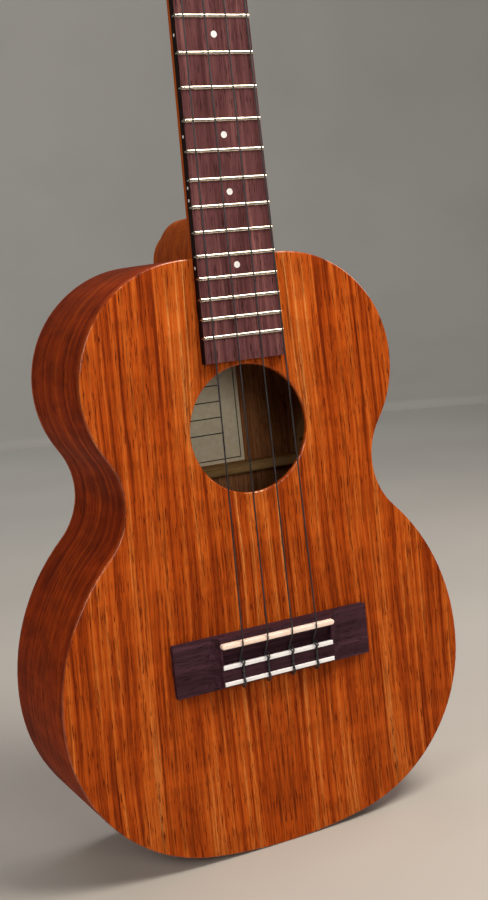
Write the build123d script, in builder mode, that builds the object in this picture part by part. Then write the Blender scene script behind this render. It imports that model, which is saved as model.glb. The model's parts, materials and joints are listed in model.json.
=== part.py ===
"""A tenor ukulele, upright, with its soundboard towards -Y and its tail on the XY plane.

Lengths are millimetres. Along the instrument, s is measured from the nut towards the tail;
h is the height in front of the soundboard. The head has a plane of its own, because it leans back.
"""

import os
from math import cos, pi, radians, sin

from build123d import *

# Scale and neck
scale_length = 431.8
fret_count = 18
nut_width = 36.0
nut_thickness = 5.0
board_end = 291.7
board_growth = 0.0155  # half width gained per millimetre along the board
board_thickness = 4.4
body_fret = 14  # the fret over the body's upper end
neck_depth_at_nut = 14.5
neck_depth_at_body = 16.5

# Body
tail_arcs = ((258.0, 9.87), (85.03, 77.7), (111.09, 47.9), (36.95, -79.6), (58.49, 78.4), (62.2, 43.13))
body_depth = 76.5
plate_thickness = 2.0
side_thickness = 2.0
edge_round = 0.8
soundhole_radius = 32.5
soundhole_s = 326.8
lining_width = 5.0
lining_height = 6.0
neck_block = (54.0, 32.0)
tail_block = (60.0, 14.0)
brace_width = 6.0
brace_height = 9.0
fan_width = 5.0
fan_height = 5.0
bridge_plate_size = (108.0, 36.0, 2.0)
label_size = (62.0, 70.0, 0.25)
label_end_s = 353.2

# Bridge, saddle and strings
bridge_width = 112.2
bridge_front = 428.35
bridge_rear = 456.0
bridge_corner = 1.0
wing_height = 3.0
wing_cove = 9.0
block_half_width = 32.6
block_rear = 454.0
block_height = 8.0
trough_front = 434.9
trough_rear = 442.7
trough_floor = 3.6
trough_half_width = 31.4
saddle_s = 432.44
saddle_half_width = 32.5
saddle_thickness = 2.8
saddle_top = 10.8
saddle_slot_floor = 3.2
strip_rows = (443.8, 452.4)
strip_half_width = 31.8
strip_size = (2.2, 1.3)
strip_rise = 0.5
tie_hole_height = 5.4
tie_hole_radius = 0.75
string_radius = 0.4
spacing_at_saddle = 14.18
spacing_at_nut = 9.9

# Frets and dots
fret_crown = (2.0, 0.95)
fret_tang = (0.6, 2.2)
fret_slope = 0.6  # how far each end of a crown leans in
face_dot_radius = 1.6
side_dot_radius = 0.8
dot_depth = 1.5
dotted_frets = (5, 7, 10, 12, 15)

# Head and tuners
head_tilt = 12.0
head_length = 136.0
head_core = 12.5
head_plate_thickness = 1.5
post_places = ((-18.5, 42.0), (-17.0, 88.0), (17.0, 88.0), (18.5, 42.0))
post_radius = 3.0
post_reach = 9.0
running_gap = 0.06
bushing_radius = 4.0
gear_teeth = 14
gear_module = 0.6
gear_thickness = 2.5
gear_level = -4.2
worm_pitch_radius = 2.0
worm_root_radius = 1.3
worm_tip_radius = 2.5
shaft_radius = 1.5
shaft_outer_end = 27.0
plate_sheet = 1.2
ear_places = (-4.3, 4.3)
screw_rows = (-10.0, 13.5)
screw_radius = 1.0
screw_depth = 7.0
screw_head = (2.1, 1.1)
screw_cross = (1.8, 0.5, 1.0)
ferrule_depth = 7.0
ferrule_flange = (5.4, 1.3)
plate_outline = (11.0, 30.0, 3.0)
ear_radius = 2.4
gear_hub_radius = 2.0
gear_screw_radius = 0.9
gear_screw_head = (2.6, 1.1)
worm_ends = (5.6, 3.5)
button_start = 17.5
button_face = (15.0, 6.8)
button_length = 14.0
button_round = 1.9

# Worked out from the driving dimensions
string_crown = saddle_top + 2 * string_radius
soundboard_y = (string_crown - body_depth) / 2
gear_pitch_radius = gear_teeth * gear_module / 2
worm_offset = gear_pitch_radius + worm_pitch_radius
worm_pitch = pi * gear_module
back_inside = plate_thickness - body_depth
head_front = head_core + head_plate_thickness


def fret_s(fret):
    return scale_length * (1 - 2 ** (-fret / 12))


def level(h):
    """The plane across the body at height h, drawn in x and z, facing forwards."""
    return Plane.XZ.offset(h - soundboard_y)


def save(part, name):
    part.label = name
    export_step(part, f"parts/{name}.step")


os.makedirs("parts", exist_ok=True)

# The body's outline: one tangent chain of arcs from the tail up the right side, then mirrored.
with BuildSketch() as body_face:
    with BuildLine():
        start, heading, turned = (0, 0), (1, 0), 0.0
        for radius, turn in tail_arcs:
            arc = JernArc(start, heading, radius, turn)
            start, heading, turned = arc @ 1, arc % 1, turned + turn
        closing_radius = start.X / sin(radians(180 - turned))
        shoulder = JernArc(start, heading, closing_radius, 180 - turned)
        mirror(about=Plane.YZ)
    make_face()

body_length = (shoulder @ 1).Y
nut_to_body = fret_s(body_fret)
nut_z = body_length + nut_to_body
head_plane = Plane(
    origin=(0, soundboard_y, nut_z + nut_thickness),
    x_dir=(1, 0, 0),
    z_dir=(0, -cos(radians(head_tilt)), sin(radians(head_tilt))),
)
# Each tuner has a plane at the back of the head: x towards its button, z to the front.
tuners = []
for x, y in post_places:
    side = 1 if x > 0 else -1
    foot = head_plane.offset(-head_core).from_local_coords((x, y, 0))
    tuners.append((Plane(origin=foot, x_dir=(side, 0, 0), z_dir=head_plane.z_dir), side))
print(f"body {body_length:.1f} long, nut at z {nut_z:.1f}, soundboard at y {soundboard_y:.2f}")


def at(s):
    """The height above the tail of a place s from the nut."""
    return nut_z - s


def half_board(s):
    return nut_width / 2 + board_growth * s


def inset_body(distance):
    with BuildSketch() as inset:
        offset(body_face.sketch_local, amount=-distance)
    return inset.sketch_local


inside_sides = inset_body(side_thickness)
inside_linings = inset_body(side_thickness + lining_width)

# Soundboard and back: whole plates over the sides, with softened edges.
with BuildPart() as soundboard:
    with BuildSketch(level(-plate_thickness)):
        add(body_face.sketch_local)
        with Locations((0, at(soundhole_s))):
            Circle(soundhole_radius, mode=Mode.SUBTRACT)
    extrude(amount=plate_thickness)
    fillet(soundboard.faces().sort_by(Axis.Y)[0].edges(), radius=edge_round)
save(soundboard.part, "soundboard")

with BuildPart() as back_plate:
    with BuildSketch(level(-body_depth)):
        add(body_face.sketch_local)
    extrude(amount=plate_thickness)
    fillet(back_plate.faces().sort_by(Axis.Y)[-1].edges(), radius=edge_round)
save(back_plate.part, "back_plate")

# The bent sides meet at the two ends of the body.
for name, keep in (("side_right", Keep.TOP), ("side_left", Keep.BOTTOM)):
    with BuildPart() as side:
        with BuildSketch(level(back_inside)):
            add(body_face.sketch_local)
            add(inside_sides, mode=Mode.SUBTRACT)
        extrude(amount=body_depth - 2 * plate_thickness)
        split(bisect_by=Plane.YZ, keep=keep)
    save(side.part, name)

# Blocks at the neck and the tail, fitted to the inside of the sides.
inner_length = body_length - side_thickness
for name, size, middle in (
    ("neck_block", neck_block, inner_length - neck_block[1] / 2 + 5),
    ("tail_block", tail_block, side_thickness + tail_block[1] / 2 - 5),
):
    with BuildPart() as block:
        with BuildSketch(level(back_inside)):
            add(inside_sides)
            with Locations((0, middle)):
                Rectangle(size[0], size[1] + 10, mode=Mode.INTERSECT)
        extrude(amount=body_depth - 2 * plate_thickness)
    save(block.part, name)

# Linings: two strips under the soundboard and two on the back, between the blocks.
lining_levels = {"front_linings": -plate_thickness - lining_height, "back_linings": back_inside}
for name, lining_level in lining_levels.items():
    with BuildPart() as linings:
        with BuildSketch(level(lining_level)):
            add(inside_sides)
            add(inside_linings, mode=Mode.SUBTRACT)
            with Locations((0, inner_length - neck_block[1] / 2 + 5)):
                Rectangle(neck_block[0], neck_block[1] + 10, mode=Mode.SUBTRACT)
            with Locations((0, side_thickness + tail_block[1] / 2 - 5)):
                Rectangle(tail_block[0], tail_block[1] + 10, mode=Mode.SUBTRACT)
        extrude(amount=lining_height)
    save(linings.part, name)


def cross_brace(name, s, floor_h, toward):
    """A straight brace across the body, standing on a plate at floor_h, with a rounded crest."""
    with BuildPart() as brace:
        with BuildSketch(level(floor_h)):
            add(inside_linings)
            with Locations((0, at(s))):
                Rectangle(2 * body_length, brace_width, mode=Mode.INTERSECT)
        extrude(amount=toward * brace_height)
        crest = brace.faces().sort_by(Axis.Y)[-1 if toward < 0 else 0]
        fillet(crest.edges().filter_by(Axis.X), radius=brace_width / 3)
    save(brace.part, name)


cross_brace("top_brace_upper", 283.0, -plate_thickness, -1)
cross_brace("top_brace_lower", 371.0, -plate_thickness, -1)
cross_brace("back_brace_upper", 279.0, back_inside, 1)
cross_brace("back_brace_middle", 356.6, back_inside, 1)
cross_brace("back_brace_lower", 447.0, back_inside, 1)

# Three fan braces under the lower bout, notched over the bridge plate.
with BuildPart() as fan_braces:
    for place, lean in ((-38.0, -10.0), (0.0, 0.0), (38.0, 10.0)):
        with BuildSketch(level(-plate_thickness)):
            with Locations((place, at(448.0), lean)):
                Rectangle(fan_width, 140.0, rotation=lean)
        extrude(amount=-fan_height)
    with BuildSketch(level(-plate_thickness)):
        with Locations((0, at(442.0))):
            Rectangle(bridge_plate_size[0], bridge_plate_size[1])
    extrude(amount=-bridge_plate_size[2], mode=Mode.SUBTRACT)
save(fan_braces.part, "fan_braces")

with BuildPart() as bridge_plate:
    with BuildSketch(level(-plate_thickness)):
        with Locations((0, at(442.0))):
            Rectangle(bridge_plate_size[0], bridge_plate_size[1])
    extrude(amount=-bridge_plate_size[2])
save(bridge_plate.part, "bridge_plate")

with BuildPart() as label:
    with BuildSketch(level(back_inside)):
        with Locations((0, at(label_end_s - label_size[1] / 2))):
            Rectangle(label_size[0], label_size[1])
    extrude(amount=label_size[2])
save(label.part, "label")

# The neck: a D-shaped shaft, a heel that deepens towards the body, and the head's core.
with BuildSketch() as head_face:
    with BuildLine():
        throat = Line((nut_width / 2, -6), (nut_width / 2, 5))
        cheek = Spline([throat @ 1, (24.5, 20), (31, 37)], tangents=[(0, 1), (0, 1)])
        edge = Line(cheek @ 1, (28.5, head_length - 9))
        crown = ThreePointArc(edge @ 1, (0, head_length), (-28.5, head_length - 9))
        mirror(cheek, about=Plane.YZ)
        mirror(throat, about=Plane.YZ)
        mirror(edge, about=Plane.YZ)
        Line((-nut_width / 2, -6), (nut_width / 2, -6))
    make_face()
    fillet(head_face.vertices().group_by(Axis.Y)[-1], radius=7)


def section_plane(s):
    return Plane(origin=(0, soundboard_y, at(s)), x_dir=(1, 0, 0), z_dir=(0, 0, -1))


shaft_sections = ((-14.0, neck_depth_at_nut), (120.0, 15.4), (nut_to_body + 2, neck_depth_at_body))
heel_depth = body_depth - 3.0
# Depth under the soundboard's plane, half width at the body, and reach in front of it.
heel_sections = (
    (0.0, 21.4, 31.0),
    (8.0, 20.7, 25.5),
    (16.0, 19.6, 22.0),
    (30.0, 17.4, 22.3),
    (48.0, 14.5, 23.1),
    (62.0, 12.4, 22.6),
    (69.0, 11.3, 20.6),
    (heel_depth, 10.6, 16.5),
)
cap_half_width, cap_reach = heel_sections[-1][1:]
# The head core's back corners are carved away towards the nut: place along the head, edge, size.
throat_carving = ((-7.0, 18.0, 11.0), (28.0, 29.0, 0.4))
with BuildPart() as neck:
    with BuildSketch(head_plane.offset(-head_core)):
        add(head_face.sketch_local)
    extrude(amount=head_core)
    for side in (-1, 1):
        for y, edge, size in throat_carving:
            carving_origin = head_plane.from_local_coords((0, y, -head_core))
            with BuildSketch(Plane(origin=carving_origin, x_dir=(1, 0, 0), z_dir=head_plane.y_dir)):
                with BuildLine():
                    Polyline(
                        (side * (edge + 1), -size),
                        (side * (edge - size), 1),
                        (side * (edge + 1), 1),
                        close=True,
                    )
                make_face()
        loft(mode=Mode.SUBTRACT)
    for s, depth in shaft_sections:
        with BuildSketch(section_plane(s)):
            with BuildLine():
                half = half_board(max(s, 0))
                Line((-half, 0), (half, 0))
                EllipticalCenterArc((0, 0), half, depth, 180, arc_size=180)
            make_face()
    loft()
    for depth, half, reach in heel_sections:
        with BuildSketch(level(-depth)):
            with BuildLine():
                base = body_length - 1.5
                Line((-half, base), (half, base))
                EllipticalCenterArc((0, base), half, reach, 0, arc_size=180)
            make_face()
    loft()
    with BuildSketch(head_plane):
        Rectangle(100, 200, align=(Align.CENTER, Align.MIN))
    extrude(amount=20, mode=Mode.SUBTRACT)
    with BuildSketch(level(-body_depth)):
        add(body_face.sketch_local)
    extrude(amount=body_depth + 1, mode=Mode.SUBTRACT)
    with BuildSketch(level(0)):
        with Locations((0, at(0))):
            Rectangle(100, 400)
    extrude(amount=20, mode=Mode.SUBTRACT)
    with BuildSketch(head_plane.offset(-head_core)):
        with Locations(*post_places):
            Circle(bushing_radius)
    extrude(amount=head_core, mode=Mode.SUBTRACT)
    for plane, side in tuners:
        with BuildSketch(plane):
            with Locations(*[(0, side * row) for row in screw_rows]):
                Circle(screw_radius)
        extrude(amount=screw_depth, mode=Mode.SUBTRACT)
print("neck solids", len(neck.solids()), "volume", round(neck.part.volume))
save(neck.part, "neck")

with BuildPart() as heel_cap:
    with BuildSketch(level(-body_depth)):
        with BuildLine():
            Line((-cap_half_width, base), (cap_half_width, base))
            EllipticalCenterArc((0, base), cap_half_width, cap_reach, 0, arc_size=180)
        make_face()
        add(body_face.sketch_local, mode=Mode.SUBTRACT)
    extrude(amount=body_depth - heel_depth)
save(heel_cap.part, "heel_cap")

# The board, with a slot for each fret's tang and pockets for the dots.
frets = range(1, fret_count + 1)
face_dots = [(0, at((fret_s(n) + fret_s(n - 1)) / 2)) for n in dotted_frets]
side_dots = []
for n in dotted_frets:
    middle = (fret_s(n) + fret_s(n - 1)) / 2
    for s in (middle - 3, middle + 3) if n == 12 else (middle,):
        side_dots.append(Location((-half_board(s), soundboard_y - board_thickness / 2, at(s)), (0, 90, 0)))

with BuildPart() as fretboard:
    with BuildSketch(level(0)):
        with BuildLine():
            Polyline(
                (-half_board(0), at(0)),
                (half_board(0), at(0)),
                (half_board(board_end), at(board_end)),
                (-half_board(board_end), at(board_end)),
                close=True,
            )
        make_face()
    extrude(amount=board_thickness)
    chamfer(fretboard.faces().sort_by(Axis.Y)[0].edges().filter_by(Axis.X, reverse=True), length=0.3)
    with BuildSketch(level(board_thickness)):
        with Locations(*[(0, at(fret_s(n))) for n in frets]):
            Rectangle(60, fret_tang[0])
    extrude(amount=-fret_tang[1], mode=Mode.SUBTRACT)
    with BuildSketch(level(board_thickness)):
        with Locations(*face_dots):
            Circle(face_dot_radius)
    extrude(amount=-dot_depth, mode=Mode.SUBTRACT)
    with Locations(*side_dots):
        Cylinder(side_dot_radius, 2 * dot_depth, mode=Mode.SUBTRACT)
save(fretboard.part, "fretboard")

# Fret wire: a rounded crown on a tang, cut to the board's width with sloping ends.
with BuildPart() as fret_wires:
    for n in frets:
        half = half_board(fret_s(n))
        fret_end = (-half, soundboard_y, at(fret_s(n)))
        with BuildSketch(Plane(origin=fret_end, x_dir=(0, 0, 1), z_dir=(1, 0, 0))):
            with BuildLine():
                rim = fret_crown[0] / 2
                Line((-rim, board_thickness), (rim, board_thickness))
                EllipticalCenterArc((0, board_thickness), rim, fret_crown[1], 0, arc_size=180)
            make_face()
            with Locations((0, board_thickness - fret_tang[1] / 2)):
                Rectangle(fret_tang[0], fret_tang[1])
        extrude(amount=2 * half)
    crown_base, crown_top = -board_thickness, -board_thickness - fret_crown[1]
    for n in frets:
        half = half_board(fret_s(n))
        with BuildSketch(Plane(origin=(0, soundboard_y, at(fret_s(n))), x_dir=(1, 0, 0), z_dir=(0, 0, 1))):
            for side in (-1, 1):
                base = (side * half, crown_base)
                inner = (side * (half - fret_slope), crown_top)
                outer = (side * (half + 1), crown_top)
                with BuildLine():
                    Polyline(base, inner, outer, close=True)
                make_face()
        extrude(amount=fret_crown[0], both=True, mode=Mode.SUBTRACT)
save(fret_wires.part, "frets")

with BuildPart() as dots:
    with BuildSketch(level(board_thickness)):
        with Locations(*face_dots):
            Circle(face_dot_radius)
    extrude(amount=-dot_depth)
save(dots.part, "face_dots")

with BuildPart() as edge_dots:
    with Locations(*side_dots):
        Cylinder(side_dot_radius, dot_depth, align=(Align.CENTER, Align.CENTER, Align.MIN))
save(edge_dots.part, "side_dots")

# Nut: a block behind the board's end, slotted for the strings, with a sloping top.
string_columns = (-1.5, -0.5, 0.5, 1.5)
nut_seat = board_thickness + fret_crown[1] + 0.3
nut_top = nut_seat + 2 * string_radius
with BuildPart() as nut:
    with BuildSketch(Plane.YZ.offset(-nut_width / 2)):
        with BuildLine():
            Polyline(
                (soundboard_y, at(0)),
                (soundboard_y - nut_top, at(0)),
                (soundboard_y - nut_top, at(-1.5)),
                (soundboard_y - nut_top + 2.2, at(-nut_thickness)),
                (soundboard_y, at(-nut_thickness)),
                close=True,
            )
        make_face()
    extrude(amount=nut_width)
    seat_y = soundboard_y - nut_seat - string_radius
    for column in string_columns:
        with Locations((column * spacing_at_nut, seat_y, at(-nut_thickness / 2))):
            Cylinder(string_radius + 0.05, 3 * nut_thickness, mode=Mode.SUBTRACT)
            Box(
                2 * string_radius,
                2,
                3 * nut_thickness,
                align=(Align.CENTER, Align.MAX, Align.CENTER),
                mode=Mode.SUBTRACT,
            )
save(nut.part, "nut")

with BuildPart() as head_plate:
    with BuildSketch(head_plane):
        add(head_face.sketch_local)
        Rectangle(100, 50, align=(Align.CENTER, Align.MAX), mode=Mode.SUBTRACT)
        with Locations(*post_places):
            Circle(bushing_radius, mode=Mode.SUBTRACT)
    extrude(amount=head_plate_thickness)
    with BuildSketch(level(0)):
        with Locations((0, at(-nut_thickness))):
            Rectangle(100, 20, align=(Align.CENTER, Align.MAX))
    extrude(amount=20, mode=Mode.SUBTRACT)
save(head_plate.part, "head_plate")

# Bridge: a block with the saddle's slot, a scooped trough and a string rest. Its ends sweep down in
# coves to two low wings, and its rear slopes to the soundboard.
with BuildPart() as bridge:
    with BuildSketch(level(0)):
        with Locations((0, at((bridge_front + bridge_rear) / 2))):
            RectangleRounded(bridge_width, bridge_rear - bridge_front, bridge_corner)
    extrude(amount=block_height)
    with BuildSketch(Plane(origin=(0, soundboard_y, at(bridge_rear) - 1), z_dir=(0, 0, 1))):
        with BuildLine():
            Line((0, -block_height), (block_half_width, -block_height))
            cove_middle = (block_half_width + wing_cove, -block_height)
            cove = EllipticalCenterArc(cove_middle, wing_cove, block_height - wing_height, 90, arc_size=90)
            Polyline(cove @ 0, (bridge_width, -wing_height), (bridge_width, 1), (0, 1))
            mirror(about=Plane.YZ)
        make_face()
    extrude(amount=bridge_rear - bridge_front + 2, mode=Mode.INTERSECT)
    with BuildSketch(Plane.YZ.offset(-bridge_width / 2)):
        with BuildLine():
            Polyline(
                (soundboard_y - wing_height + 0.8, at(bridge_rear)),
                (soundboard_y - block_height - 1, at(block_rear - 0.4)),
                (soundboard_y - block_height - 1, at(bridge_rear)),
                close=True,
            )
        make_face()
    extrude(amount=bridge_width, mode=Mode.SUBTRACT)
    with BuildSketch(Plane.YZ.offset(-trough_half_width)):
        with BuildLine():
            scoop = ThreePointArc(
                (soundboard_y - block_height, at(trough_front)),
                (soundboard_y - trough_floor - 1.3, at(trough_front + 2.4)),
                (soundboard_y - trough_floor, at(trough_rear)),
            )
            Polyline(
                scoop @ 1,
                (soundboard_y - block_height - 1, at(trough_rear)),
                (soundboard_y - block_height - 1, at(trough_front)),
                scoop @ 0,
            )
        make_face()
    extrude(amount=2 * trough_half_width, mode=Mode.SUBTRACT)
    with BuildSketch(level(saddle_slot_floor)):
        with Locations((0, at(saddle_s))):
            SlotOverall(2 * saddle_half_width, saddle_thickness)
    extrude(amount=block_height, mode=Mode.SUBTRACT)
    with BuildSketch(level(block_height)):
        with Locations(*[(0, at(s)) for s in strip_rows]):
            Rectangle(2 * strip_half_width, strip_size[0])
    extrude(amount=-strip_size[1], mode=Mode.SUBTRACT)
    for column in string_columns:
        with Locations((column * spacing_at_saddle, soundboard_y - tie_hole_height, at(block_rear))):
            Cylinder(tie_hole_radius, 2 * (block_rear - trough_rear) + 1, mode=Mode.SUBTRACT)
save(bridge.part, "bridge")

with BuildPart() as saddle:
    with BuildSketch(level(saddle_slot_floor)):
        with Locations((0, at(saddle_s))):
            SlotOverall(2 * saddle_half_width, saddle_thickness)
    extrude(amount=saddle_top - saddle_slot_floor)
    fillet(saddle.faces().sort_by(Axis.Y)[0].edges(), radius=0.8)
save(saddle.part, "saddle")

with BuildPart() as tie_strips:
    with BuildSketch(level(block_height - strip_size[1])):
        with Locations(*[(0, at(s)) for s in strip_rows]):
            Rectangle(2 * strip_half_width, strip_size[0])
    extrude(amount=strip_size[1] + strip_rise)
    fillet(tie_strips.faces().group_by(Axis.Y)[0].edges(), radius=0.4)
save(tie_strips.part, "tie_strips")


def string_tube(points, bend):
    """A round string along straight runs joined by arcs of one bend radius."""
    with BuildPart() as tube:
        with BuildLine() as route:
            FilletPolyline(*points, radius=bend)
        with BuildSketch(Plane(origin=route.line @ 0, z_dir=route.line % 0)):
            Circle(string_radius)
        sweep(path=route.line)
    return tube.part


def place(x, s, h):
    return (x, soundboard_y - h, at(s))


wrap_radius = post_radius + string_radius + 0.04
wrap_height = head_front + 5.4
for column, post, name in zip(
    string_columns, post_places, ("string_g", "string_c", "string_e", "string_a")
):
    x_nut, x_saddle = column * spacing_at_nut, column * spacing_at_saddle
    inner_side = -1 if column > 0 else 1
    landing = post[0] + inner_side * (wrap_radius + 2 * string_radius + 0.3)
    end = head_plane.from_local_coords((landing, post[1], wrap_height - head_core))
    path = [
        tuple(end),
        place(x_nut, -1.0, nut_seat + string_radius + 0.1),
        place(x_saddle, saddle_s + 0.1, saddle_top + string_radius + 0.15),
        place(x_saddle, trough_rear - 0.4, tie_hole_height),
        place(x_saddle, block_rear + 1.7, tie_hole_height),
    ]
    save(string_tube(path, 1.6), name)

# Each string comes back over the two strips and is tucked under itself in the trough.
with BuildPart() as string_ties:
    over = block_height + strip_rise + string_radius + 0.05
    for column in string_columns:
        x = column * spacing_at_saddle
        loop = [
            place(x, block_rear + 1.3, tie_hole_height + 2 * string_radius + 0.1),
            place(x, block_rear + 1.3, over),
            place(x, trough_rear - 0.6, over),
            place(x, trough_rear - 0.6, tie_hole_height + 3 * string_radius + 0.2),
        ]
        add(string_tube(loop, 0.55))
save(string_ties.part, "string_ties")


def turn(*steps, mode=Mode.ADD):
    """Cylinders on the plane's z axis, each given by its radius, low end and high end."""
    for radius, low, high in steps:
        with Locations((0, 0, low)):
            Cylinder(radius, high - low, align=(Align.CENTER, Align.CENTER, Align.MIN), mode=mode)


with BuildPart() as tuner_plates:
    for plane, side in tuners:
        with BuildSketch(plane):
            with Locations((0, side * (sum(screw_rows) / 2))):
                RectangleRounded(*plate_outline)
            Circle(post_radius + running_gap, mode=Mode.SUBTRACT)
            with Locations(*[(0, side * row) for row in screw_rows]):
                Circle(screw_radius, mode=Mode.SUBTRACT)
        extrude(amount=-plate_sheet)
        for ear in ear_places:
            across = plane.from_local_coords((ear - plate_sheet / 2, 0, 0))
            with BuildSketch(Plane(origin=across, x_dir=head_plane.y_dir, z_dir=(side, 0, 0))):
                with Locations((worm_offset, side * gear_level)):
                    Circle(ear_radius)
                with Locations((worm_offset, side * (gear_level - plate_sheet / 2) / 2)):
                    Rectangle(2 * ear_radius, abs(gear_level) - plate_sheet / 2)
                with Locations((worm_offset, side * gear_level)):
                    Circle(shaft_radius + running_gap, mode=Mode.SUBTRACT)
            extrude(amount=plate_sheet)
save(tuner_plates.part, "tuner_plates")

# Ferrules pressed into the head's front, and the screws that hold the plates.
with BuildPart() as ferrule:
    flange_radius, flange_height = ferrule_flange
    turn((bushing_radius, head_front - ferrule_depth, head_front))
    turn((flange_radius, head_front, head_front + flange_height))
    chamfer(ferrule.edges().group_by(Axis.Z)[-1], length=flange_height / 3)
    turn((post_radius + running_gap, 0, head_front + post_reach), mode=Mode.SUBTRACT)

with BuildPart() as post_bushings:
    with Locations(*[plane.location for plane, side in tuners]):
        add(ferrule.part)
save(post_bushings.part, "post_bushings")

with BuildPart() as plate_screw:
    head_radius, head_height = screw_head
    turn((screw_radius, -plate_sheet, screw_depth), (head_radius, -plate_sheet - head_height, -plate_sheet))
    fillet(plate_screw.edges().group_by(Axis.Z)[0], radius=head_height / 2)
    cross_length, cross_width, cross_depth = screw_cross
    with Locations((0, 0, -plate_sheet - head_height)):
        Box(cross_length, cross_width, cross_depth, mode=Mode.SUBTRACT)
        Box(cross_width, cross_length, cross_depth, mode=Mode.SUBTRACT)

with BuildPart() as plate_screws:
    for plane, side in tuners:
        with Locations(plane.location):
            with Locations(*[(0, side * row) for row in screw_rows]):
                add(plate_screw.part)
save(plate_screws.part, "plate_screws")

# The turning pieces of a tuner, each drawn once on its own axis.
gear_face = gear_level - gear_thickness / 2
gear_back = gear_level + gear_thickness / 2
with BuildPart() as post:
    turn((post_radius, gear_back, head_front + post_reach), (gear_hub_radius, gear_face, gear_back))
    fillet(post.edges().group_by(Axis.Z)[-1], radius=0.9)
    turn((gear_screw_radius, gear_face, gear_face + 5), mode=Mode.SUBTRACT)
    with Locations(Location((0, 0, wrap_height + 1.9), (0, 90, 0))):
        Cylinder(0.7, 3 * post_radius, mode=Mode.SUBTRACT)

gear_root = gear_pitch_radius - 0.7
gear_tip = gear_pitch_radius + 0.55
with BuildSketch() as gear_tooth:
    with BuildLine():
        Polyline(
            (gear_root - 0.3, -0.56),
            (gear_tip, -0.24),
            (gear_tip, 0.24),
            (gear_root - 0.3, 0.56),
            close=True,
        )
    make_face()

with BuildPart() as gear:
    with BuildSketch(Plane.XY.offset(gear_face)):
        Circle(gear_root)
        with PolarLocations(0, gear_teeth, start_angle=90):
            add(gear_tooth.sketch_local)
        Circle(gear_hub_radius, mode=Mode.SUBTRACT)
    extrude(amount=gear_thickness)

with BuildPart() as gear_screw:
    head_radius, head_height = gear_screw_head
    turn((gear_screw_radius, gear_face, gear_face + 4.5), (head_radius, gear_face - head_height, gear_face))
    fillet(gear_screw.edges().group_by(Axis.Z)[0], radius=head_height / 2)
    with Locations((0, 0, gear_face - head_height)):
        Box(2 * gear_hub_radius, cross_width, cross_depth, mode=Mode.SUBTRACT)

with BuildPart() as wrap:
    for coil in (-1, 0, 1):
        with Locations((0, 0, wrap_height + coil * 1.9 * string_radius)):
            Torus(wrap_radius, string_radius)

# The worm's axis is its z. Three turns of thread straddle a tooth of the gear, which lies along its x.
with BuildPart() as worm:
    thread_length = 3 * worm_pitch
    thread_start = (0, 0, -thread_length / 2)
    with BuildLine() as thread_path:
        Helix(worm_pitch, thread_length, worm_root_radius - 0.1, center=thread_start)
    thread_rise = worm_tip_radius - worm_root_radius + 0.1
    with BuildSketch(Plane(origin=thread_path.line @ 0, x_dir=(1, 0, 0), z_dir=thread_path.line % 0)):
        with BuildLine():
            Polyline((0, -0.55), (thread_rise, -0.16), (thread_rise, 0.16), (0, 0.55), close=True)
        make_face()
    sweep(path=thread_path.line, is_frenet=True)
    end, neck_start = worm_ends
    turn((worm_root_radius, -4, 4), (shaft_radius, -end, -neck_start))
    turn((shaft_radius, neck_start, shaft_outer_end))

with BuildPart() as button:
    with BuildSketch(Plane.XY.offset(button_start + 2)):
        RectangleRounded(button_face[0], button_face[1], button_face[1] / 2 - 0.1)
    extrude(amount=button_length)
    fillet(button.edges().filter_by(Axis.Z, reverse=True), radius=button_round)
    turn((post_radius, button_start, button_start + 5))
    turn((shaft_radius, button_start - 1, shaft_outer_end), mode=Mode.SUBTRACT)


def save_placed(made, name, location):
    with BuildPart() as piece:
        with Locations(location):
            add(made.part)
    save(piece.part, name)


for number, (plane, side) in enumerate(tuners, start=1):
    worm_plane = Plane(origin=(0, side * worm_offset, gear_level), x_dir=(0, -side, 0), z_dir=(1, 0, 0))
    worm_location = plane.location * worm_plane.location
    save_placed(post, f"post_{number}", plane.location)
    save_placed(gear, f"gear_{number}", plane.location)
    save_placed(gear_screw, f"gear_screw_{number}", plane.location)
    save_placed(wrap, f"string_wrap_{number}", plane.location)
    save_placed(worm, f"worm_{number}", worm_location)
    save_placed(button, f"button_{number}", worm_location)
    print(f"tuner {number} post at {plane.origin}, worm at {worm_location.position}")
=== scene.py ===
# %% [markdown]
# # A tenor ukulele in koa
# The instrument stands upright: Z runs from its tail to its head, and its soundboard looks
# towards -Y. The CAD model gives every wooden part its shape. This lesson gives the parts their
# finishes, and grows the strings' knots and coils with geometry nodes.

# %% Load the frame
import json
import math
import bpy
from mathutils import Matrix, Vector


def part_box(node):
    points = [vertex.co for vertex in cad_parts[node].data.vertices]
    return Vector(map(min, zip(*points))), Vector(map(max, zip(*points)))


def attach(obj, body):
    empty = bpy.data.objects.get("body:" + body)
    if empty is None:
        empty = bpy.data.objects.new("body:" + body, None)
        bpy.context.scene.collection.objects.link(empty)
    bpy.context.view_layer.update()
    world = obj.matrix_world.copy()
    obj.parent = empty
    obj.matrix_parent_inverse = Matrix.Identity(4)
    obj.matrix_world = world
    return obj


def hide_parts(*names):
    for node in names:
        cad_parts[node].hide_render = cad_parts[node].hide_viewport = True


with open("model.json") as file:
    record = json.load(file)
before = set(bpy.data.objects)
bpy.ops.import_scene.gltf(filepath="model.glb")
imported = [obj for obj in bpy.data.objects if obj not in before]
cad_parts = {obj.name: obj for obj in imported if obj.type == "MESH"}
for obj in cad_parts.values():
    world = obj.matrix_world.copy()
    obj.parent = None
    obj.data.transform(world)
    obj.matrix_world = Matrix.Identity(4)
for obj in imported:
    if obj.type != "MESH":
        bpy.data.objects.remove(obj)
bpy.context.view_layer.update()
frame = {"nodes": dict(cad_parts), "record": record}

MM = 0.001
nodes = frame["nodes"]

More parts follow.
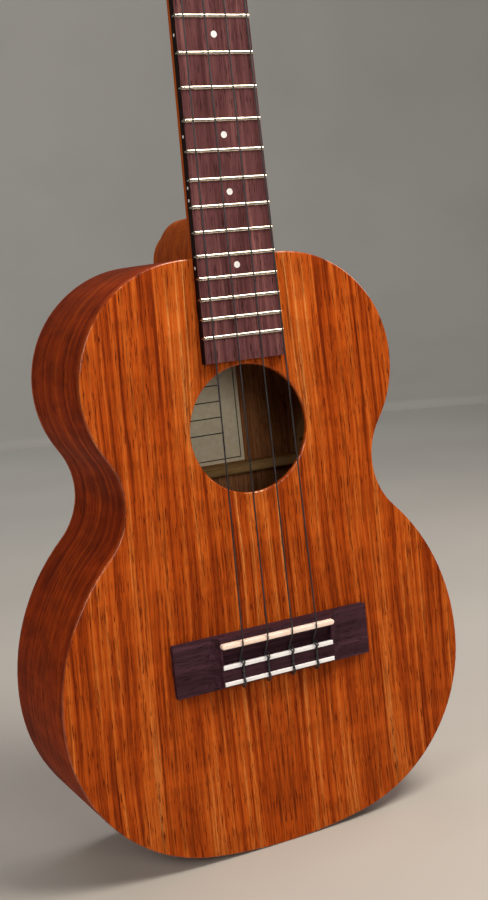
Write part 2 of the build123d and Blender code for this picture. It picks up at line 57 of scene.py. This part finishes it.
# %% [markdown]
# ## Helpers
# A node tree is long when it is written call by call, so one small function adds any node with
# its settings and links. A second one turns a paint shop's hex colour, which is in sRGB, into the
# linear values that a shader works with.

# %% Helpers for node trees and colours
def put(tree, kind, settings=None, links=None):
    """Adds a node. Settings go to its properties or input values, links join sockets to its inputs."""
    node = tree.nodes.new(kind)
    for name, value in (settings or {}).items():
        if isinstance(name, str) and hasattr(node, name):
            setattr(node, name, value)
        else:
            node.inputs[name].default_value = value
    for name, socket in (links or {}).items():
        tree.links.new(socket, node.inputs[name])
    return node


def linear(hex_colour):
    channels = [int(hex_colour[i:i + 2], 16) / 255 for i in (1, 3, 5)]
    return [c / 12.92 if c <= 0.04045 else ((c + 0.055) / 1.055) ** 2.4 for c in channels] + [1.0]


def new_finish(name):
    """An empty material, its node tree, and the surface position in millimetres."""
    finish = bpy.data.materials.new(name)
    finish.use_nodes = True
    tree = finish.node_tree
    tree.nodes.clear()
    place = put(tree, "ShaderNodeTexCoord")
    position = put(tree, "ShaderNodeVectorMath", {"operation": "SCALE", "Scale": 1 / MM},
                   {0: place.outputs["Object"]})
    return finish, tree, position.outputs[0]


def ramp(tree, factor, stops):
    """Colours along a factor: (position, hex or linear grey) pairs."""
    node = put(tree, "ShaderNodeValToRGB", links={"Fac": factor})
    elements = node.color_ramp.elements
    while len(elements) < len(stops):
        elements.new(0.5)
    for element, (position, colour) in zip(elements, stops):
        element.position = position
        element.color = linear(colour) if isinstance(colour, str) else (colour, colour, colour, 1)
    return node.outputs["Color"]

# %% [markdown]
# ## Wood
# Wood is drawn in its own grain space: a position across the grain, through the board and along
# the grain. Noise that is squeezed across the grain and stretched along it gives broad figure,
# growth streaks, thin dark lines and open pores. The pores are drawn about 0.6 mm wide, coarser
# than real ones, so that they still read from an arm's length. A last noise, short along the
# grain, gives the curl that makes koa shimmer.

# %% One recipe for every wood on the instrument
def wood_finish(name, shades, pore, lay, sizes, spread=0.17, line_strength=0.45, curl=0.1, rough=0.5,
                specular=0.06, coat=0.0, bump=0.2, shift=0.0):
    """shades run from the darkest streak to the lightest, over spread on both sides of the middle;
    sizes are (across, along) in mm for the figure, the streaks, the dark lines and the pores."""
    finish, tree, position = new_finish(name)
    grain = lay(tree, position)

    def stretched(size, detail, offset):
        scale = put(tree, "ShaderNodeVectorMath", {"operation": "MULTIPLY", 1: (
            1 / size[0], 1 / size[0], 1 / size[1])}, {0: grain})
        moved = put(tree, "ShaderNodeVectorMath",
                    {"operation": "ADD", 1: (offset + shift, offset * 0.7, shift)},
                    {0: scale.outputs[0]})
        return put(tree, "ShaderNodeTexNoise", {"Scale": 1.0, "Detail": detail, "Roughness": 0.62},
                   {"Vector": moved.outputs[0]}).outputs["Fac"]

    figure, streaks, lines, holes = (
        stretched(size, detail, offset)
        for size, detail, offset in zip(sizes, (2.0, 5.0, 3.0, 2.0), (3.1, 17.3, 41.9, 71.9)))
    grown = put(tree, "ShaderNodeMix", {"data_type": "FLOAT", "Factor": 0.68}, {2: figure, 3: streaks})
    steps = len(shades) - 1
    body = ramp(tree, grown.outputs[0],
                [(0.5 - spread + 2 * spread * i / steps, shade) for i, shade in enumerate(shades)])

    thin = ramp(tree, lines, [(0.36, 1.0 - line_strength), (0.47, 1.0)])
    curls = stretched((30.0, 10.0), 2.0, 90.7)
    shimmer = ramp(tree, curls, [(0.38, 1.0 - curl), (0.62, 1.0)])
    lined = put(tree, "ShaderNodeMix", {"data_type": "RGBA", "blend_type": "MULTIPLY", "Factor": 1.0},
                {6: body, 7: thin})
    curled = put(tree, "ShaderNodeMix", {"data_type": "RGBA", "blend_type": "MULTIPLY", "Factor": 1.0},
                 {6: lined.outputs[2], 7: shimmer})
    open_pores = ramp(tree, holes, [(0.56, 0.0), (0.68, 1.0)])
    colour = put(tree, "ShaderNodeMix", {"data_type": "RGBA", 7: linear(pore)},
                 {0: open_pores, 6: curled.outputs[2]})

    relief = put(tree, "ShaderNodeMath", {"operation": "MULTIPLY_ADD", 1: -1.0}, {0: open_pores, 2: lines})
    bumped = put(tree, "ShaderNodeBump", {"Strength": bump, "Distance": 0.12 * MM},
                 {"Height": relief.outputs[0]})
    dull = put(tree, "ShaderNodeMath", {"operation": "MULTIPLY_ADD", 1: 0.2, 2: rough}, {0: open_pores})
    shader = put(tree, "ShaderNodeBsdfPrincipled",
                 {"IOR": 1.5, "Specular IOR Level": specular, "Coat Weight": coat, "Coat Roughness": 0.12},
                 {"Base Color": colour.outputs[2], "Roughness": dull.outputs[0], "Normal": bumped.outputs[0]})
    put(tree, "ShaderNodeOutputMaterial", links={"Surface": shader.outputs[0]})
    print("wood:", name)
    return finish


def upright(tree, position):
    """Grain along Z, as in the neck and the fretboard."""
    return position


def crosswise(tree, position):
    """Grain along X, as in the bridge."""
    apart = put(tree, "ShaderNodeSeparateXYZ", links={0: position})
    turned = put(tree, "ShaderNodeCombineXYZ",
                 links={0: apart.outputs[2], 1: apart.outputs[1], 2: apart.outputs[0]})
    return turned.outputs[0]


def bookmatched(tree, position):
    """Two halves mirrored at the centre seam, their grain leaning outwards towards the tail."""
    apart = put(tree, "ShaderNodeSeparateXYZ", links={0: position})
    mirrored = put(tree, "ShaderNodeMath", {"operation": "ABSOLUTE"}, {0: apart.outputs[0]})
    slope = math.tan(math.radians(1.2))
    leaned = put(tree, "ShaderNodeMath", {"operation": "MULTIPLY_ADD", 1: slope},
                 {0: apart.outputs[2], 2: mirrored.outputs[0]})
    slow = put(tree, "ShaderNodeVectorMath", {"operation": "MULTIPLY", 1: (1 / 90, 1 / 90, 1 / 150)},
               {0: position})
    sway = put(tree, "ShaderNodeTexNoise", {"Scale": 1.0, "Detail": 1.0}, {"Vector": slow.outputs[0]})
    across = put(tree, "ShaderNodeMath", {"operation": "MULTIPLY_ADD", 1: 9.0},
                 {0: sway.outputs["Fac"], 2: leaned.outputs[0]})
    laid = put(tree, "ShaderNodeCombineXYZ",
               links={0: across.outputs[0], 1: apart.outputs[1], 2: apart.outputs[2]})
    return laid.outputs[0]


def bent(tree, position):
    """Grain that follows the bent sides: lines change with depth only, and slowly along the bend."""
    apart = put(tree, "ShaderNodeSeparateXYZ", links={0: position})
    slow = put(tree, "ShaderNodeVectorMath", {"operation": "SCALE", "Scale": 1 / 70}, {0: position})
    sway = put(tree, "ShaderNodeTexNoise", {"Scale": 1.0, "Detail": 1.0}, {"Vector": slow.outputs[0]})
    across = put(tree, "ShaderNodeMath", {"operation": "MULTIPLY_ADD", 1: 6.0},
                 {0: sway.outputs["Fac"], 2: apart.outputs[1]})
    slid = put(tree, "ShaderNodeMath", {"operation": "MULTIPLY", 1: 0.03}, {0: apart.outputs[0]})
    laid = put(tree, "ShaderNodeCombineXYZ",
               links={0: across.outputs[0], 1: slid.outputs[0], 2: apart.outputs[2]})
    return laid.outputs[0]

# %% [markdown]
# ### Koa for the body
# Koa is a Hawaiian acacia, orange to red-brown, with dark streaks and open pores. The soundboard
# and the back are each two sheets cut from one board and opened like a book. A satin lacquer
# leaves the pores visible. The rounded edges are rubbed glossier than the flats, so they catch a
# thin line of light. Inside, the wood is raw and paler.

# %% Koa
koa_shades = ["#6A2104", "#8C3408", "#B04A10", "#C66220", "#DC8A48"]
koa_sizes = ((22.0, 240.0), (2.4, 130.0), (0.9, 45.0), (0.6, 9.0))
koa_top = wood_finish("koa_top_satin", koa_shades, "#571A04", bookmatched, koa_sizes, curl=0.16)
koa_edge = wood_finish("koa_edge_gloss", koa_shades, "#571A04", bookmatched, koa_sizes, rough=0.25,
                       coat=1.0, bump=0.0)
koa_back = wood_finish("koa_back_satin", koa_shades, "#571A04", bookmatched, koa_sizes, curl=0.16, shift=9.0)
koa_sides = wood_finish("koa_sides_satin", ["#641A02", "#8A2C04", "#A83E07", "#C2540F"], "#501402", bent,
                        ((18.0, 300.0), (3.0, 200.0), (1.0, 80.0), (0.7, 9.0)), curl=0.3,
                        line_strength=0.3, specular=0.02)
koa_raw = wood_finish("koa_inside_raw", ["#84522F", "#9E683C", "#B47C52", "#C89468"], "#5E3A22",
                      bookmatched, koa_sizes,
                      rough=0.7, specular=0.1, line_strength=0.2, shift=9.0)

# %% [markdown]
# ### Mahogany, rosewood and spruce
# The neck is mahogany: even, fine and orange-tan. The fretboard and the bridge are rosewood,
# purple-brown, oiled and without lacquer, and the fretboard's edges are stained nearly black.
# Braces and linings inside are left raw.

# %% Neck, board, bridge and inside woods
mahogany = wood_finish("mahogany_satin", ["#8A3404", "#A64607", "#BC580D", "#CE6C1A"], "#742A03", upright,
                       ((16.0, 220.0), (3.0, 160.0), (1.0, 50.0), (0.5, 6.0)), line_strength=0.2,
                       specular=0.02)
rosewood_sizes = ((12.0, 160.0), (3.0, 120.0), (0.9, 50.0), (0.6, 8.0))
rosewood = wood_finish("rosewood_oiled", ["#3E2224", "#583436", "#6C4446", "#8C5C58"], "#2E191A", upright,
                       rosewood_sizes, line_strength=0.25)
board_edge = wood_finish("rosewood_stained_edge", ["#120808", "#1C0E0D", "#261412", "#301B18"],
                         "#0C0505", upright,
                         rosewood_sizes, rough=0.55)
bridge_wood = wood_finish("rosewood_bridge", ["#2A171B", "#38222A", "#462C36", "#5A3A46"], "#1E1014",
                          crosswise,
                          rosewood_sizes, line_strength=0.2, shift=4.0)
spruce = wood_finish("spruce_raw", ["#8E6B3E", "#A98452", "#BC9864", "#CCAB78"], "#7E5A30", crosswise,
                     ((10.0, 200.0), (2.5, 150.0), (0.7, 90.0), (0.5, 12.0)), line_strength=0.25, rough=0.65)
lining_wood = wood_finish("basswood_raw", ["#A17848", "#B98F5C", "#C9A170", "#D6B284"], "#8C6437", bent,
                          ((10.0, 90.0), (3.0, 90.0), (0.8, 40.0), (0.5, 6.0)), line_strength=0.2, rough=0.65)

# %% [markdown]
# ## Plain finishes
# Bone, plastic, nylon and metal have no grain to draw, but none is one flat colour: a low noise
# moves the colour a little and the roughness with it, as handling and polishing do.

# %% One recipe for moulded, cut and plated parts
def plain_finish(name, light, dark, blotch_mm, rough, bump=0.04, bump_mm=0.6, **shader_values):
    finish, tree, position = new_finish(name)
    placed = put(tree, "ShaderNodeVectorMath", {"operation": "SCALE", "Scale": 1 / blotch_mm}, {0: position})
    blotch = put(tree, "ShaderNodeTexNoise", {"Scale": 1.0, "Detail": 4.0}, {"Vector": placed.outputs[0]})
    colour = ramp(tree, blotch.outputs["Fac"], [(0.35, dark), (0.65, light)])
    fine_place = put(tree, "ShaderNodeVectorMath", {"operation": "SCALE", "Scale": 1 / bump_mm},
                     {0: position})
    fine = put(tree, "ShaderNodeTexNoise", {"Scale": 1.0, "Detail": 2.0}, {"Vector": fine_place.outputs[0]})
    bumped = put(tree, "ShaderNodeBump", {"Strength": bump, "Distance": 0.05 * MM},
                 {"Height": fine.outputs["Fac"]})
    dull = put(tree, "ShaderNodeMath", {"operation": "MULTIPLY_ADD", 1: 0.12, 2: rough},
               {0: fine.outputs["Fac"]})
    shader = put(tree, "ShaderNodeBsdfPrincipled", shader_values,
                 {"Base Color": colour, "Roughness": dull.outputs[0], "Normal": bumped.outputs[0]})
    put(tree, "ShaderNodeOutputMaterial", links={"Surface": shader.outputs[0]})
    print("plain:", name)
    return finish


bone = plain_finish("saddle_bone_polished", "#FFEBDE", "#FFE0CC", 5.0, 0.35)
tie_white = plain_finish("tie_strip_white", "#FAFAFC", "#EFEFF3", 4.0, 0.32)
pearl = plain_finish("dot_pearl", "#F8F8F8", "#E6E6E8", 1.2, 0.25)
nickel = plain_finish("nickel_plated", "#D8D6D0", "#BDBAB2", 9.0, 0.16, Metallic=1.0)
fret_wire = plain_finish("fret_nickel_silver", "#DCD4C8", "#C8BEB0", 3.0, 0.2, bump=0.0, Metallic=1.0)
brass = plain_finish("gear_brass_cut", "#D9B25C", "#B98D3C", 2.0, 0.28, Metallic=1.0)
nylon = plain_finish("string_nylon_dark", "#2C2C31", "#17171A", 6.0, 0.3)
ivory = plain_finish("button_ivory_plastic", "#EFE4CC", "#DFD0B0", 7.0, 0.25)

# %% [markdown]
# ## Printed label
# The label inside is cream paper with a thin printed border and a few plain ruled lines. All of it
# is worked out from the distance to the label's middle, so it needs no picture.

# %% Label
border_inset, border_half_width = 2.2, 0.28
rule_half_gap, rule_half_width, rule_margin = 4.5, 0.3, 9.0


def printed_paper(name, low, high):
    finish, tree, position = new_finish(name)
    middle = (low + high) / 2 / MM
    half_width, half_height = (high - low)[0] / 2 / MM, (high - low)[2] / 2 / MM
    centred = put(tree, "ShaderNodeVectorMath", {"operation": "SUBTRACT", 1: middle}, {0: position})
    apart = put(tree, "ShaderNodeSeparateXYZ", links={0: centred.outputs[0]})
    x = put(tree, "ShaderNodeMath", {"operation": "ABSOLUTE"}, {0: apart.outputs[0]})
    z = put(tree, "ShaderNodeMath", {"operation": "ABSOLUTE"}, {0: apart.outputs[2]})
    past_x = put(tree, "ShaderNodeMath", {"operation": "SUBTRACT", 1: half_width - border_inset},
                 {0: x.outputs[0]})
    past_z = put(tree, "ShaderNodeMath", {"operation": "SUBTRACT", 1: half_height - border_inset},
                 {0: z.outputs[0]})
    past = put(tree, "ShaderNodeMath", {"operation": "MAXIMUM"}, {0: past_x.outputs[0], 1: past_z.outputs[0]})
    border = put(tree, "ShaderNodeMath", {"operation": "COMPARE", 1: 0.0, 2: border_half_width},
                 {0: past.outputs[0]})
    row = put(tree, "ShaderNodeMath", {"operation": "PINGPONG", 1: rule_half_gap}, {0: apart.outputs[2]})
    ruled = put(tree, "ShaderNodeMath", {"operation": "LESS_THAN", 1: rule_half_width}, {0: row.outputs[0]})
    inside = put(tree, "ShaderNodeMath", {"operation": "LESS_THAN", 1: -rule_margin}, {0: past.outputs[0]})
    rules = put(tree, "ShaderNodeMath", {"operation": "MULTIPLY"},
                {0: ruled.outputs[0], 1: inside.outputs[0]})
    ink = put(tree, "ShaderNodeMath", {"operation": "MAXIMUM"}, {0: border.outputs[0], 1: rules.outputs[0]})
    fibre = put(tree, "ShaderNodeTexNoise", {"Scale": 0.4, "Detail": 5.0}, {"Vector": position})
    cream = ramp(tree, fibre.outputs["Fac"], [(0.35, "#F4EACA"), (0.65, "#FFF7DC")])
    colour = put(tree, "ShaderNodeMix", {"data_type": "RGBA", 7: linear("#38352C")},
                 {0: ink.outputs[0], 6: cream})
    shader = put(tree, "ShaderNodeBsdfPrincipled", {"Roughness": 0.8, "Specular IOR Level": 0.1},
                 {"Base Color": colour.outputs[2]})
    put(tree, "ShaderNodeOutputMaterial", links={"Surface": shader.outputs[0]})
    return finish


paper = printed_paper("label_paper_cream", *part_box("label"))

# %% [markdown]
# ## Dress the CAD parts
# Each part's material slot takes its finish. The record names the slots, so the list below says
# which finish each slot has, and one loop assigns them. Some faces of a part differ from the rest:
# the rounded edges of the plates, the raw inside of the back and the fretboard's stained edges. A
# face's direction tells them apart.

# %% Finishes by slot
finish_of_slot = {
    "koa_top": koa_top, "koa_back": koa_back, "koa_sides": koa_sides, "neck_mahogany": mahogany,
    "lining_wood": lining_wood, "brace_spruce": spruce, "rosewood": rosewood, "head_veneer": koa_back,
    "fret_wire": fret_wire, "dot_plastic": pearl, "saddle_bone": bone, "tie_plastic": tie_white,
    "label_paper": paper, "nylon_string": nylon, "tuner_nickel": nickel, "gear_brass": brass,
    "button_plastic": ivory,
}
slot_of_node = {part["node"]: part["material_slot"] for part in frame["record"]["subparts"]}
for name, part in nodes.items():
    part.data.materials.clear()
    part.data.materials.append(finish_of_slot[slot_of_node[name]])
for name in ("bridge", "bridge_plate"):
    nodes[name].data.materials[0] = bridge_wood


def dress_faces(name, finish, chosen):
    """A second finish on the faces whose outward direction passes the test."""
    mesh = nodes[name].data
    mesh.materials.append(finish)
    faces = [face for face in mesh.polygons if chosen(face.normal)]
    for face in faces:
        face.material_index = 1
    print(name, len(faces), "faces in", finish.name)


dress_faces("soundboard", koa_edge, lambda way: -0.97 < way.y < -0.03)
dress_faces("back_plate", koa_raw, lambda way: way.y < -0.9)
dress_faces("fretboard", board_edge, lambda way: abs(way.x) > 0.6)

# %% [markdown]
# ## Grown parts
# A path in a mesh's edges becomes a smooth curve and then a round strand. A second tree winds a
# coil. Both end in Realize Instances and Set Material, are evaluated once, and leave plain meshes.

# %% Geometry node trees
def growing_tree(name, inputs):
    """A tree with a geometry input and output and the named inputs; gives the tree and its input node."""
    tree = bpy.data.node_groups.new(name, "GeometryNodeTree")
    tree.interface.new_socket("Geometry", in_out="OUTPUT", socket_type="NodeSocketGeometry")
    tree.interface.new_socket("Geometry", in_out="INPUT", socket_type="NodeSocketGeometry")
    for label, kind in inputs:
        tree.interface.new_socket(label, in_out="INPUT", socket_type="NodeSocket" + kind)
    return tree, put(tree, "NodeGroupInput")


def finish_tree(tree, entry, curve):
    """A round tube along the curve, smooth, realized and in its material."""
    ring = put(tree, "GeometryNodeCurvePrimitiveCircle", {"Resolution": 14},
               {"Radius": entry.outputs["Radius"]})
    tube = put(tree, "GeometryNodeCurveToMesh", {"Fill Caps": True}, {0: curve, 1: ring.outputs[0]})
    smooth = put(tree, "GeometryNodeSetShadeSmooth", links={0: tube.outputs[0]})
    real = put(tree, "GeometryNodeRealizeInstances", links={0: smooth.outputs[0]})
    dressed = put(tree, "GeometryNodeSetMaterial",
                  links={0: real.outputs[0], "Material": entry.outputs["Material"]})
    put(tree, "NodeGroupOutput", links={0: dressed.outputs[0]})


strand_tree, entry = growing_tree("strand_on_path",
                                  [("Radius", "Float"), ("Step", "Float"), ("Material", "Material")])
path = put(strand_tree, "GeometryNodeMeshToCurve", links={0: entry.outputs["Geometry"]})
rounded = put(strand_tree, "GeometryNodeCurveSplineType", {"spline_type": "CATMULL_ROM"},
              {0: path.outputs[0]})
even = put(strand_tree, "GeometryNodeResampleCurve", {"mode": "LENGTH"},
           {0: rounded.outputs[0], "Length": entry.outputs["Step"]})
finish_tree(strand_tree, entry, even.outputs[0])

coil_tree, entry = growing_tree("coil_round_post", [
    ("Radius", "Float"), ("Coil Radius", "Float"), ("Turns", "Float"), ("Height", "Float"),
    ("Material", "Material")])
spiral = put(coil_tree, "GeometryNodeCurveSpiral", {"Resolution": 40}, {
    "Rotations": entry.outputs["Turns"], "Start Radius": entry.outputs["Coil Radius"],
    "End Radius": entry.outputs["Coil Radius"], "Height": entry.outputs["Height"]})
finish_tree(coil_tree, entry, spiral.outputs[0])


def grow(name, tree, mesh, values):
    """The tree evaluated once on a mesh: a new object at the origin with a plain mesh."""
    seed = bpy.data.objects.new(name, mesh)
    bpy.context.collection.objects.link(seed)
    modifier = seed.modifiers.new("grow", "NODES")
    modifier.node_group = tree
    for socket in tree.interface.items_tree:
        if socket.in_out == "INPUT" and socket.name in values:
            modifier[socket.identifier] = values[socket.name]
    seed.update_tag()
    grown = bpy.data.meshes.new_from_object(seed.evaluated_get(bpy.context.evaluated_depsgraph_get()))
    seed.modifiers.clear()
    seed.data = grown
    grown.name = name
    print(name, len(grown.polygons), "faces")
    return seed


def path_mesh(name, paths):
    """A mesh of open paths, each a list of points in metres."""
    points = [point for path in paths for point in path]
    edges = []
    start = 0
    for path in paths:
        edges += [(i, i + 1) for i in range(start, start + len(path) - 1)]
        start += len(path)
    mesh = bpy.data.meshes.new(name)
    mesh.from_pydata(points, edges, [])
    return mesh

# %% [markdown]
# ### Knots on the bridge
# Each string goes through the bridge, comes back over the two white strips, passes under itself in
# the trough and returns twisted round its own standing part. So two strands cross the string rest,
# with a lump at each strip. The rest is measured from the CAD strips, string by string.

# %% Knots
strips_low, strips_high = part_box("tie_strips")
strings = ("string_g", "string_c", "string_e", "string_a")
string_radius = 0.4 * MM
strand_radius = 0.4 * MM
half_strip = 1.1 * MM
front_row, rear_row = strips_high.z - half_strip, strips_low.z + half_strip
rest_y = strips_low.y - strand_radius - 0.05 * MM


def knot_paths(x, lift=0.31 * MM):
    """The way out over the rest and the way back, twisted round each other between the strips."""
    def at(dx, dz, dy):
        return (x + dx * MM, rest_y - dy * MM, dz)

    out = [at(0.0, rear_row - 3.2 * MM, -3.0), at(0.0, rear_row - 3.5 * MM, -2.0),
           at(-0.1, rear_row - 3.2 * MM, -0.7),
           at(-0.25, rear_row - 2.0 * MM, 0.35), at(-0.2, rear_row - 0.6 * MM, 0.5)]
    back = [at(0.45, rear_row - 2.6 * MM, -1.6), at(0.5, rear_row - 2.3 * MM, -0.5),
            at(0.35, rear_row - 1.4 * MM, 0.5),
            at(0.2, rear_row - 0.5 * MM, 0.75)]
    steps, turns = 12, 1.5
    for i in range(steps + 1):
        part = i / steps
        z = rear_row + 0.4 * MM + part * (front_row - rear_row - 0.6 * MM)
        angle = 2 * math.pi * turns * part
        sag = 0.35 * math.sin(math.pi * part) * MM
        side, rise = lift * math.cos(angle), lift * math.sin(angle)
        out.append((x - side, rest_y - 0.25 * MM - rise + sag, z))
        back.append((x + side, rest_y - 0.25 * MM + rise + sag, z))
    out += [at(-0.35, front_row + 0.8 * MM, 0.75), at(-0.8, front_row + 1.7 * MM, 0.1),
            at(-0.9, front_row + 2.6 * MM, -1.2),
            at(-0.4, front_row + 3.2 * MM, -2.6), at(0.3, front_row + 3.2 * MM, -2.7)]
    back += [at(0.45, front_row + 0.6 * MM, 0.9), at(0.85, front_row + 1.6 * MM, 0.2),
             at(0.95, front_row + 2.4 * MM, -1.2),
             at(0.7, front_row + 3.0 * MM, -2.4), at(0.35, front_row + 3.2 * MM, -2.7)]
    return [out, back]


knot_runs = []
for name in strings:
    vertices = [v.co for v in nodes[name].data.vertices if v.co.z < front_row + 1.5 * MM]
    knot_runs += knot_paths(sum(v.x for v in vertices) / len(vertices))
knots = grow("string_knots", strand_tree, path_mesh("knot_paths", knot_runs),
             {"Radius": strand_radius, "Step": 0.25 * MM, "Material": nylon})
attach(knots, "root")
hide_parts("string_ties")

# %% [markdown]
# ### Coils on the posts
# Each string winds two and a half times round its post. A coil turns with its post, so it rides on
# that body. Its place and axis come from the CAD coil and from the post's joint.

# %% Coils
coil_radius, coil_turns, coil_height = 3.45 * MM, 2.5, 2.1 * MM
axis_of_body = {joint["child"]: Vector(joint["axis"]) for joint in frame["record"]["behaviour"]["joints"]}
for number in (1, 2, 3, 4):
    low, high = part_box(f"string_wrap_{number}")
    axis = axis_of_body[f"string_post_{number}"]
    coil = grow(f"string_coil_{number}", coil_tree, path_mesh("empty", []), {
        "Radius": string_radius, "Coil Radius": coil_radius, "Turns": coil_turns, "Height": coil_height,
        "Material": nylon})
    place = Matrix.Translation((low + high) / 2) @ axis.to_track_quat("Z", "Y").to_matrix().to_4x4()
    coil.data.transform(place @ Matrix.Translation((0, 0, -coil_height / 2)))
    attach(coil, f"string_post_{number}")
    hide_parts(f"string_wrap_{number}")

# %% [markdown]
# ## Stage, light and camera
# A round pale floor rises into a pale wall all round, so a view from any side has both behind it.
# The key lamp hangs high in front and to the right. An edge lamp draws a thin line on the rim, a
# side lamp keeps the bent side readable, a front lamp reaches the label through the soundhole and
# a wall lamp lights the background. The camera is low, to the left, and rolled a little.

# %% Stage
def round_stage(radius, height, bend, turns=96):
    """A round floor that curves up into a wall all round, like a studio's sweep seen from any side."""
    arc = [math.pi / 2 * i / 12 for i in range(13)]
    profile = [(radius - bend + bend * math.sin(t), bend - bend * math.cos(t)) for t in arc]
    profile.append((radius, height))
    points = [(r * math.cos(2 * math.pi * k / turns), r * math.sin(2 * math.pi * k / turns), z)
              for r, z in profile for k in range(turns)]
    faces = [tuple(range(turns))]
    for row in range(len(profile) - 1):
        for k in range(turns):
            after = (k + 1) % turns
            faces.append((row * turns + k, row * turns + after, (row + 1) * turns + after,
                          (row + 1) * turns + k))
    mesh = bpy.data.meshes.new("studio_bowl")
    mesh.from_pydata(points, [], faces)
    mesh.polygons.foreach_set("use_smooth", [face.loop_total == 4 for face in mesh.polygons])
    return mesh


studio_paint = plain_finish("studio_paint_matt", "#BBB8B2", "#B5B2AC", 300.0, 0.9)
stage = bpy.data.objects.new("studio_bowl", round_stage(radius=3.0, height=2.6, bend=1.0))
stage.data.materials.append(studio_paint)
bpy.context.collection.objects.link(stage)

# %% Lights
def soft_lamp(name, place, target, size, watts, colour):
    lamp = bpy.data.lights.new(name, "AREA")
    lamp.size = size
    lamp.energy = watts
    lamp.color = linear(colour)[:3]
    holder = bpy.data.objects.new(name, lamp)
    holder.location = place
    holder.rotation_euler = (Vector(target) - Vector(place)).to_track_quat("-Z", "Y").to_euler()
    holder.visible_camera = False
    bpy.context.collection.objects.link(holder)


soft_lamp("key_lamp", (0.30, -0.42, 0.92), (0, 0, 0.3), 0.4, 8.5, "#FFF4E6")
soft_lamp("edge_lamp", (0.9, 0.1, 0.7), (0, 0, 0.25), 0.4, 3, "#FFF0EA")
soft_lamp("side_lamp", (-0.75, -0.5, 0.6), (0, 0, 0.3), 0.4, 3, "#FFF6EC")
soft_lamp("front_lamp", (-0.15, -0.95, 0.45), (0, 0, 0.3), 0.3, 2.2, "#FFF6EC")
soft_lamp("wall_lamp", (0.0, 0.9, 2.3), (0, 3.0, 0.6), 1.5, 30, "#FFFFFF")
world = bpy.data.worlds.new("studio_air")
bpy.context.scene.world = world
world.use_nodes = True
world.node_tree.nodes["Background"].inputs["Color"].default_value = linear("#DADCE0")
world.node_tree.nodes["Background"].inputs["Strength"].default_value = 0.05
bpy.context.scene.view_settings.view_transform = "Standard"

# %% Camera
camera_place = (-0.2867, -0.6228, 0.2951)
azimuth, elevation, roll = math.radians(27.11), math.radians(8.54), math.radians(5.6)
camera_data = bpy.data.cameras.new("camera")
camera_data.lens = 52.27
camera_data.shift_x = -0.0417
camera_data.shift_y = 0.0253
camera = bpy.data.objects.new("camera", camera_data)
camera.location = camera_place
turned = Matrix.Rotation(-azimuth, 4, "Z") @ Matrix.Rotation(math.pi / 2 - elevation, 4, "X")
camera.rotation_euler = (turned @ Matrix.Rotation(-roll, 4, "Z")).to_euler()
bpy.context.collection.objects.link(camera)
bpy.context.scene.camera = camera
